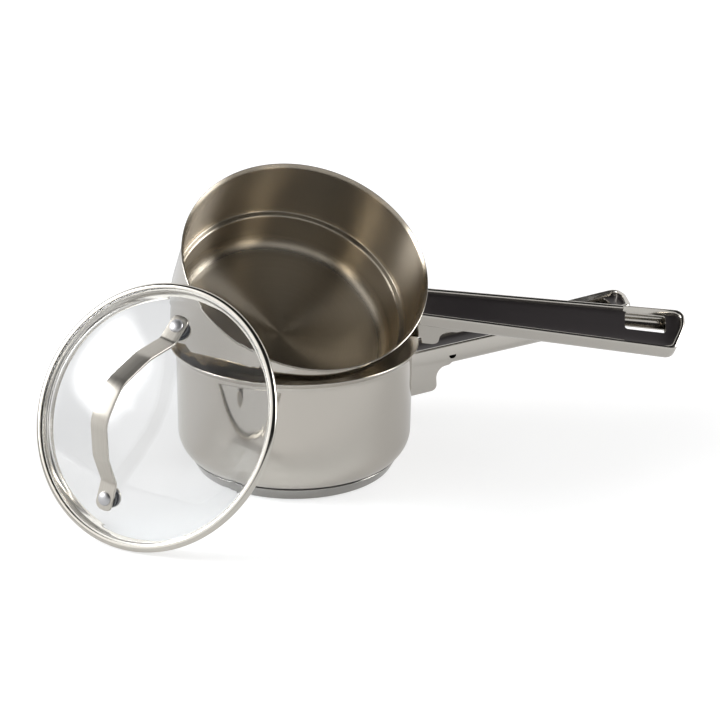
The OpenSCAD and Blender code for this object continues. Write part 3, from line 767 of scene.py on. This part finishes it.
def tinted_satin_plate(name, colour, line_mm, rough_low, rough_high):
    """Steel plate with a thin dark tint baked on and lines drawn along it: nearly black, with one
    soft long highlight down the middle of the trough."""
    made, tree = material(name)
    uv = node(tree, "ShaderNodeUVMap", uv_map="along")
    stretch = node(tree, "ShaderNodeMapping", {
        "Vector": uv.outputs["UV"], "Scale": (20.0, 1000.0 / line_mm, 1.0)})
    lines = node(tree, "ShaderNodeTexNoise", {
        "Vector": stretch.outputs["Vector"], "Scale": 1.0, "Detail": 3.0, "Roughness": 0.6})
    rough = node(tree, "ShaderNodeMapRange", {
        "Value": lines.outputs["Fac"], "From Min": 0.3, "From Max": 0.7, "To Min": rough_low,
        "To Max": rough_high})
    shader = node(tree, "ShaderNodeBsdfPrincipled", {
        "Base Color": linear(colour), "Metallic": 0.35, "Roughness": rough.outputs["Result"]})
    node(tree, "ShaderNodeOutputMaterial", {"Surface": shader.outputs["BSDF"]})
    return made


def drawn_satin_steel(name, colour, line_mm, rough_low, rough_high):
    """Strip steel drawn through abrasive rollers: fine lines run along the strap, and its highlights
    are broad and soft."""
    made, tree = material(name)
    place = node(tree, "ShaderNodeTexCoord")
    stretch = node(tree, "ShaderNodeMapping", {
        "Vector": place.outputs["Object"], "Location": AT_STRAP.translation, "Rotation": AT_STRAP.to_euler(),
        "Scale": (60 * MM, line_mm * MM, 60 * MM)}, vector_type="TEXTURE")
    lines = node(tree, "ShaderNodeTexNoise", {
        "Vector": stretch.outputs["Vector"], "Scale": 1.0, "Detail": 2.0, "Roughness": 0.6})
    rough = node(tree, "ShaderNodeMapRange", {
        "Value": lines.outputs["Fac"], "From Min": 0.3, "From Max": 0.7, "To Min": rough_low,
        "To Max": rough_high})
    tint = node(tree, "ShaderNodeMix", {
        "Factor": lines.outputs["Fac"], "A": linear(colour[0]), "B": linear(colour[1])}, data_type="RGBA")
    shader = node(tree, "ShaderNodeBsdfPrincipled", {
        "Base Color": tint.outputs["Result"], "Metallic": 1.0, "Roughness": rough.outputs["Result"]})
    node(tree, "ShaderNodeOutputMaterial", {"Surface": shader.outputs["BSDF"]})
    return made


def plain_metal(name, colour, grain_mm, rough_low, rough_high):
    """Bare metal with a fine even grain, which gives the eye a soft spread highlight."""
    made, tree = material(name)
    place = node(tree, "ShaderNodeTexCoord")
    grain = node(tree, "ShaderNodeTexNoise", {
        "Vector": place.outputs["Object"], "Scale": 1000.0 / grain_mm, "Detail": 3.0})
    rough = node(tree, "ShaderNodeMapRange", {
        "Value": grain.outputs["Fac"], "From Min": 0.3, "From Max": 0.7, "To Min": rough_low,
        "To Max": rough_high})
    shader = node(tree, "ShaderNodeBsdfPrincipled", {
        "Base Color": linear(colour), "Metallic": 1.0, "Roughness": rough.outputs["Result"]})
    node(tree, "ShaderNodeOutputMaterial", {"Surface": shader.outputs["BSDF"]})
    return made


def tempered_glass():
    """Clear tempered soda-lime glass: hardly tinted, with a mirror-like upper face."""
    made, tree = material("tempered_soda_lime_glass")
    place = node(tree, "ShaderNodeTexCoord")
    smear = node(tree, "ShaderNodeTexNoise", {
        "Vector": place.outputs["Object"], "Scale": 1000.0 / 30.0, "Detail": 2.0})
    rough = node(tree, "ShaderNodeMapRange", {"Value": smear.outputs["Fac"], "To Min": 0.0, "To Max": 0.02})
    shader = node(tree, "ShaderNodeBsdfPrincipled", {
        "Base Color": linear("eeeff0"), "Transmission Weight": 1.0, "IOR": 1.5,
        "Roughness": rough.outputs["Result"]})
    rays = node(tree, "ShaderNodeLightPath")
    clear = node(tree, "ShaderNodeBsdfTransparent", {"Color": linear("e0e4e5")})
    mix = node(tree, "ShaderNodeMixShader", {
        0: rays.outputs["Is Shadow Ray"], 1: shader.outputs["BSDF"], 2: clear.outputs["BSDF"]})
    node(tree, "ShaderNodeOutputMaterial", {"Surface": mix.outputs["Shader"]})
    return made


def silicone():
    """Moulded grey silicone rubber: dull, with a very fine matt grain."""
    made, tree = material("moulded_grey_silicone")
    place = node(tree, "ShaderNodeTexCoord")
    grain = node(tree, "ShaderNodeTexNoise", {
        "Vector": place.outputs["Object"], "Scale": 1000.0 / 0.8, "Detail": 2.0})
    rough = node(tree, "ShaderNodeMapRange", {"Value": grain.outputs["Fac"], "To Min": 0.42, "To Max": 0.6})
    shader = node(tree, "ShaderNodeBsdfPrincipled", {
        "Base Color": linear("5c5d61"), "Roughness": rough.outputs["Result"]})
    node(tree, "ShaderNodeOutputMaterial", {"Surface": shader.outputs["BSDF"]})
    return made


POLISHED = polished_steel("mirror_polished_18_10_steel", "cac5bd", 25.0, 0.05, 0.10)
PRESSED = polished_steel("polished_pressed_steel", "ccc8c1", 12.0, 0.14, 0.2)
ROLLED = polished_steel("polished_rolled_steel_band", "cecac2", 8.0, 0.08, 0.15)
CAP = polished_steel("polished_magnetic_steel_cap", "aaa8a4", 10.0, 0.12, 0.2)
SATIN_WALL = turned_satin_steel("satin_turned_18_10_steel", ("b8ae9e", "c4bcae"), 0.8, 0.245, 0.275)
SATIN_BOTTOM = turned_satin_steel("coarse_turned_18_10_steel", ("bab0a0", "c8c0b2"), 0.8, 0.33, 0.36)
TROUGH = tinted_satin_plate("dark_tinted_satin_steel", "3e3a3b", 0.6, 0.3, 0.42)
STRAP = drawn_satin_steel("satin_strip_steel", ("bcb7ae", "d4d0c8"), 0.9, 0.34, 0.42)
RIVET = plain_metal("tumbled_steel_rivet", "c4c4c6", 0.6, 0.42, 0.52)
ALUMINIUM = plain_metal("plain_rolled_aluminium", "c4c5c7", 0.4, 0.3, 0.4)
# Painted shade: a near-black colour for the ring in the gap between cap and pan, standing in for the shadow there.
PAINTED_SEAM_SHADE = plain_metal("dark_painted_seam_shade", "2a2826", 0.3, 0.4, 0.5)
GLASS = tempered_glass()
SILICONE = silicone()


# Turned pieces
PAN_PATH = [(0, BASE_RISE, 0), (PAN_R, BASE_RISE, PAN_CORNER_R), (PAN_R, PAN_H - LIP_RISE, LIP_BEND_R),
            (PAN_LIP_R, PAN_H, 0)]
INSERT_PATH = [(0, -INSERT_DEPTH, 0), (INSERT_LOW_R, -INSERT_DEPTH, INSERT_CORNER_R),
               (INSERT_LOW_R, -LEDGE_DROP - LEDGE_FALL, 1.2), (INSERT_TOP_R, -LEDGE_DROP, 1.8),
               (INSERT_TOP_R, -INSERT_FLARE, 3.0), (INSERT_RIM_R, 0, 0)]


def saucepan_body():
    outline, outer = sheet_outline(PAN_PATH, PAN_T, end_r=0.35)
    return revolved("saucepan_shell", outline, UPRIGHT, [POLISHED, SATIN_WALL, SATIN_BOTTOM],
                    (outer, len(outline) - 8))


def insert_body():
    outline, outer = sheet_outline(INSERT_PATH, INSERT_T)
    return revolved("insert_shell", outline, AT_INSERT, [POLISHED, SATIN_WALL, SATIN_BOTTOM],
                    (outer, len(outline) - 8))


def base_cap():
    """The cap under the saucepan; its top edge stops just short of the pan, so a seam line shows."""
    outline = rounded([(0, 0, 0), (CAP_FOOT_R, 0, CAP_EDGE_R), (CAP_TOP_R, CAP_TOP_H, 0.3),
                       (CAP_TOP_R - 0.8, CAP_TOP_H - 0.7, 0), (CAP_FOOT_R - 2, 3.0, 0), (0, 3.0, 0)])
    return revolved("base_cap", outline, UPRIGHT, [CAP])


def seam_shade_ring():
    """Painted shade: a dark ring that fills the gap between cap and pan and stands in for the shadow in it."""
    middle = Vector((PAN_R - PAN_CORNER_R, BASE_RISE + PAN_CORNER_R))
    outline = []
    for angle, reach in ((-49.4, 0.08), (-47.2, 0.08), (-47.2, -0.3), (-49.4, -0.3)):
        s, c = degrees_sin_cos(angle)
        outline.append(middle + Vector((c, s)) * (PAN_CORNER_R + reach))
    return revolved("painted_seam_shade", outline, UPRIGHT, [PAINTED_SEAM_SHADE])


def meet(p, d, q, e):
    return p + d * (cross(q - p, e) / cross(d, e))


def down(slope):
    s, c = degrees_sin_cos(slope)
    return Vector((c, -s))


def lid_glass():
    start = Vector((DOME_R * math.tan(math.radians(DOME_SLOPE / 2)), DOME_H))
    foot = Vector((SHOULDER_FOOT_R, GLASS_T / 2))
    knee = meet(start, down(DOME_SLOPE), foot, down(SHOULDER_SLOPE))
    edge_r = LID_R - BAND_T - GLASS_PLAY
    top = [(0, DOME_H, 0), (start.x, start.y, DOME_R), (knee.x, knee.y, 18), (foot.x, foot.y, 4.5),
           (edge_r, GLASS_T / 2, 0)]
    outside = top[:-1] + [(edge_r, GLASS_T / 2, GLASS_EDGE_R), (edge_r, -GLASS_T / 2, GLASS_EDGE_R),
                          (SHOULDER_FOOT_R + 1, -GLASS_T / 2, 0)]
    inside = [p for p in rounded(shifted(top, -GLASS_T)) if p.x < SHOULDER_FOOT_R + 1]
    return revolved("domed_glass", rounded(outside) + inside[::-1], AT_LID, [GLASS])


def lid_band():
    """Rolled band: flange on the glass, bead round its edge, seat on the pan, skirt and hem."""
    skirt_r = PAN_R - PAN_T - SKIRT_PLAY
    low = -BAND_HALF - SKIRT_H
    path = [(LID_R - FLANGE_W, BAND_HALF - 0.15, 0), (LID_R, BAND_HALF, BAND_HALF - 0.05),
            (LID_R, -BAND_HALF, BAND_HALF - 0.05), (skirt_r, -BAND_HALF, 1),
            (skirt_r - SKIRT_LEAN, low, 1), (skirt_r - SKIRT_LEAN - HEM_W, low, 0)]
    outline, _ = sheet_outline(path, -BAND_T + 0.25, start_r=0.15, end_r=0.15)
    return revolved("rolled_band", outline, AT_LID, [ROLLED])


# Strap handle, rivets, gaskets and washers
FOOT_SLOPE = math.degrees(math.asin(RIVET_REACH / DOME_R))
FOOT_H = DOME_H - DOME_R * (1 - math.cos(math.radians(FOOT_SLOPE)))


def strap_handle():
    s, c = degrees_sin_cos(FOOT_SLOPE)
    seat = Vector((RIVET_REACH, FOOT_H)) + (GASKET_T + STRAP_T / 2) * Vector((s, c))
    along = Vector((c, -s))
    end, bend_at = seat + FOOT_TAIL * along, seat - FOOT_NOSE * along
    side = [(end.x, end.y, 0), (bend_at.x, bend_at.y, 5.0), (KNEE_REACH + 0.6, seat.y + KNEE_H, 15.0),
            (GRIP_HALF, seat.y + STRAP_H, 17.0)]
    path = rounded([(-x, y, r) for x, y, r in side] + side[::-1])
    points = []
    for a, b in zip(path, path[1:]):
        steps = max(1, math.ceil((b - a).length / 0.5))
        if a.y > seat.y + 8 and b.y > seat.y + 8:
            steps = max(1, math.ceil((b - a).length / 2.0))
        points += [a + (b - a) * k / steps for k in range(steps)]
    points.append(path[-1])
    mesh = bpy.data.meshes.new("strap_path")
    mesh.from_pydata([(p.x * MM, 0, p.y * MM) for p in points], [(k, k + 1) for k in range(len(points) - 1)], [])
    return grown("strap_handle", mesh, strip_tree(), {
        "Width": STRAP_W * MM, "Thickness": STRAP_T * MM, "Edge Radius": STRAP_EDGE_R * MM,
        "Corner Radius": FOOT_CORNER_R * MM, "Reach": (end.x + 0.02) * MM}, AT_STRAP, STRAP)


def at_rivets(name, tree, sizes, finish):
    values = {"Reach": RIVET_REACH * MM, "Height": FOOT_H * MM, "Slope": math.radians(FOOT_SLOPE)}
    values.update({label: value * MM for label, value in sizes.items()})
    return grown(name, bpy.data.meshes.new(name), tree, values, AT_STRAP, finish, 40.0)


def dress(piece, body, slot, *replaced):
    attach(piece, body)
    if replaced:
        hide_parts(*replaced)


dress(saucepan_body(), "saucepan", "polished_steel", "saucepan_body")
dress(base_cap(), "saucepan", "polished_steel", "saucepan_base_cap")
# The dark seam ring is painted shade in the gap between cap and pan.
dress(seam_shade_ring(), "saucepan", "dark_satin_steel")
dress(insert_body(), "insert", "brushed_steel", "insert_body")
dress(lid_glass(), "lid", "clear_glass", "lid_glass")
dress(lid_band(), "lid", "polished_steel", "lid_band")

pan_shell = with_vent(handle_shell("pan_handle_shell", SAUCEPAN_HANDLE, PRESSED), SAUCEPAN_HANDLE)
dress(pan_shell, "saucepan", "polished_steel", "saucepan_handle_shell")
dress(handle_plate("pan_handle_plate", SAUCEPAN_HANDLE, TROUGH, PRESSED), "saucepan", "dark_satin_steel",
      "saucepan_handle_top")
dress(bracket("pan_handle_bracket", SAUCEPAN_HANDLE, 0.0, PRESSED), "saucepan", "polished_steel",
      "saucepan_bracket")
dress(handle_shell("insert_handle_body", INSERT_HANDLE, PRESSED), "insert", "polished_steel",
      "insert_handle_shell")
dress(handle_plate("insert_handle_plate", INSERT_HANDLE, TROUGH, PRESSED), "insert", "dark_satin_steel",
      "insert_handle_top")
dress(bracket("insert_handle_bracket", INSERT_HANDLE, NOTCH_H, PRESSED), "insert", "polished_steel",
      "insert_bracket")

discs, heads = discs_tree(), rivets_tree()
dress(strap_handle(), "lid", "brushed_steel", "lid_handle")
dress(at_rivets("rivets", heads, {
    "Head Level": GASKET_T + STRAP_T, "End Level": -GLASS_T - GASKET_T - WASHER_T, "Shank Radius": RIVET_R,
    "Head Radius": RIVET_HEAD_R, "Head Height": RIVET_HEAD_H, "End Radius": RIVET_R + 1.2,
    "End Height": 1.2}, RIVET), "lid", "polished_steel", "lid_rivet_1", "lid_rivet_2")
dress(at_rivets("upper_gaskets", discs, {"Level": -0.1, "Radius": GASKET_R, "Thickness": GASKET_T + 0.1},
                SILICONE), "lid", "grey_silicone", "lid_top_gasket_1", "lid_top_gasket_2")
dress(at_rivets("lower_gaskets", discs, {
    "Level": -GLASS_T - GASKET_T, "Radius": GASKET_R, "Thickness": GASKET_T}, SILICONE),
      "lid", "grey_silicone", "lid_under_gasket_1", "lid_under_gasket_2")
dress(at_rivets("washers", discs, {
    "Level": -GLASS_T - GASKET_T - WASHER_T, "Radius": GASKET_R, "Thickness": WASHER_T}, STRAP),
      "lid", "brushed_steel", "lid_washer_1", "lid_washer_2")

nodes["saucepan_base_core"].data.materials.clear()
nodes["saucepan_base_core"].data.materials.append(ALUMINIUM)


# Floor, light and camera
def seen_strength(tree, straight, through, mirrored):
    """Strength of the background seen straight, through glass, and in metal."""
    rays = node(tree, "ShaderNodeLightPath")
    total = node(tree, "ShaderNodeMath", {0: rays.outputs["Is Camera Ray"], 1: straight}, operation="MULTIPLY")
    total = node(tree, "ShaderNodeMath", {
        0: rays.outputs["Is Transmission Ray"], 1: through, 2: total.outputs[0]}, operation="MULTIPLY_ADD")
    return node(tree, "ShaderNodeMath", {0: rays.outputs["Is Glossy Ray"], 1: mirrored, 2: total.outputs[0]},
                operation="MULTIPLY_ADD").outputs[0]


def floor():
    """A pale floor that stays white far off, where the lamps don't reach."""
    made, tree = material("pale_floor")
    diffuse = node(tree, "ShaderNodeBsdfDiffuse", {"Color": (0.5, 0.5, 0.5, 1.0)})
    place = node(tree, "ShaderNodeTexCoord")
    away = node(tree, "ShaderNodeVectorMath", {0: place.outputs["Object"]}, operation="LENGTH")
    straight = node(tree, "ShaderNodeMapRange", {
        "Value": away.outputs["Value"], "From Min": 0.3, "From Max": 1.5, "To Min": 0.61, "To Max": 0.95})
    seen = seen_strength(tree, straight.outputs["Result"], 0.14, 0.3)
    glow = node(tree, "ShaderNodeEmission", {"Strength": seen})
    both = node(tree, "ShaderNodeAddShader", {0: diffuse.outputs[0], 1: glow.outputs[0]})
    node(tree, "ShaderNodeOutputMaterial", {"Surface": both.outputs[0]})
    mesh = bpy.data.meshes.new("floor")
    half = 30.0
    mesh.from_pydata([(-half, -half, 0), (half, -half, 0), (half, half, 0), (-half, half, 0)], [], [(0, 1, 2, 3)])
    mesh.materials.append(made)
    piece = bpy.data.objects.new("floor", mesh)
    bpy.context.scene.collection.objects.link(piece)


def world():
    """A white studio seen by the camera. Mirrors find a bright band low in front, a higher one at the
    back, a dark ceiling and one soft light wall at the left front, as round a light table."""
    made = bpy.data.worlds.new("studio")
    bpy.context.scene.world = made
    made.use_nodes = True
    tree = made.node_tree
    tree.nodes.clear()
    rays = node(tree, "ShaderNodeLightPath")
    way = node(tree, "ShaderNodeTexCoord")
    split = node(tree, "ShaderNodeSeparateXYZ", {"Vector": way.outputs["Generated"]})
    depth = node(tree, "ShaderNodeMath", {0: split.outputs["Y"]}, operation="ABSOLUTE")
    level = node(tree, "ShaderNodeMath", {0: depth.outputs[0], 1: -1.2, 2: split.outputs["Z"]},
                 operation="MULTIPLY_ADD")
    level = node(tree, "ShaderNodeMath", {0: split.outputs["Y"], 1: -0.7, 2: level.outputs[0]},
                 operation="MULTIPLY_ADD")
    height = node(tree, "ShaderNodeMapRange", {
        "Value": level.outputs[0], "From Min": -0.3, "From Max": -0.1, "To Min": 0.9, "To Max": 0.02},
        interpolation_type="SMOOTHSTEP")
    aim = node(tree, "ShaderNodeVectorMath", {0: way.outputs["Generated"], 1: (-0.718, -0.484, 0.5)},
               operation="DOT_PRODUCT")
    wall = node(tree, "ShaderNodeMapRange", {
        "Value": aim.outputs["Value"], "From Min": 0.85, "From Max": 1.0, "To Min": 0.0, "To Max": 1.3},
        interpolation_type="SMOOTHSTEP")
    mirrored = node(tree, "ShaderNodeMath", {0: height.outputs[0], 1: wall.outputs[0]}, operation="ADD")
    even = node(tree, "ShaderNodeMath", {0: rays.outputs["Is Diffuse Ray"], 1: 0.32}, operation="MULTIPLY")
    full = node(tree, "ShaderNodeMath", {
        0: even.outputs[0], 1: seen_strength(tree, 1.0, 0.8, mirrored.outputs[0])}, operation="ADD")
    room = node(tree, "ShaderNodeBackground", {"Color": (1, 1, 1, 1), "Strength": full.outputs[0]})
    node(tree, "ShaderNodeOutputWorld", {"Surface": room.outputs[0]})


def softbox(name, azimuth, elevation, size, power):
    """A lamp behind a diffuser, bright in the middle and fading to its edges, that faces the object
    from a direction; azimuth 0 is the right side."""
    look = Vector((0, 0, 0.1))
    sin_a, cos_a = degrees_sin_cos(azimuth)
    sin_e, cos_e = degrees_sin_cos(elevation)
    away = Vector((cos_e * cos_a, cos_e * sin_a, sin_e))
    lamp = bpy.data.lights.new(name, "AREA")
    lamp.shape = "RECTANGLE"
    lamp.size, lamp.size_y = size
    lamp.energy = power
    lamp.use_nodes = True
    tree = lamp.node_tree
    tree.nodes.clear()
    place = node(tree, "ShaderNodeNewGeometry")
    across = node(tree, "ShaderNodeSeparateXYZ", {"Vector": place.outputs["Parametric"]})
    fall = []
    for axis in ("X", "Y"):
        side = node(tree, "ShaderNodeMath", {0: across.outputs[axis], 1: 0.5}, operation="SUBTRACT")
        off = node(tree, "ShaderNodeMath", {0: side.outputs[0]}, operation="ABSOLUTE")
        fall.append(node(tree, "ShaderNodeMapRange", {
            "Value": off.outputs[0], "From Min": 0.08, "From Max": 0.5, "To Min": 1.0, "To Max": 0.0},
            interpolation_type="SMOOTHSTEP").outputs["Result"])
    both = node(tree, "ShaderNodeMath", {0: fall[0], 1: fall[1]}, operation="MULTIPLY")
    glow = node(tree, "ShaderNodeEmission", {"Strength": both.outputs[0]})
    node(tree, "ShaderNodeOutputLight", {"Surface": glow.outputs[0]})
    holder = bpy.data.objects.new(name, lamp)
    bpy.context.scene.collection.objects.link(holder)
    holder.location = look + 1.6 * away
    holder.rotation_euler = away.to_track_quat("Z", "Y").to_euler()


def camera():
    lens = bpy.data.cameras.new("camera")
    lens.sensor_width = SENSOR
    lens.lens = CAMERA_LENS
    lens.clip_end = 100.0
    holder = bpy.data.objects.new("camera", lens)
    bpy.context.scene.collection.objects.link(holder)
    s, c = degrees_sin_cos(CAMERA_DOWN)
    forward = Vector((0, c, -s))
    side = Vector((1, 0, 0))
    above = side.cross(forward)
    rs, rc = degrees_sin_cos(CAMERA_ROLL)
    right = side * rc + above * rs
    up = above * rc - side * rs
    axes = Matrix((right, up, -forward)).transposed().to_4x4()
    holder.matrix_world = Matrix.Translation(Vector(CAMERA_AT) * MM) @ axes
    bpy.context.scene.camera = holder


floor()
world()
softbox("left_box", 188.0, 28.0, (1.15, 1.0), 74.0)
softbox("right_box", 0.0, 17.0, (1.05, 1.35), 58.0)
camera()
bpy.context.scene.view_settings.view_transform = "Standard"
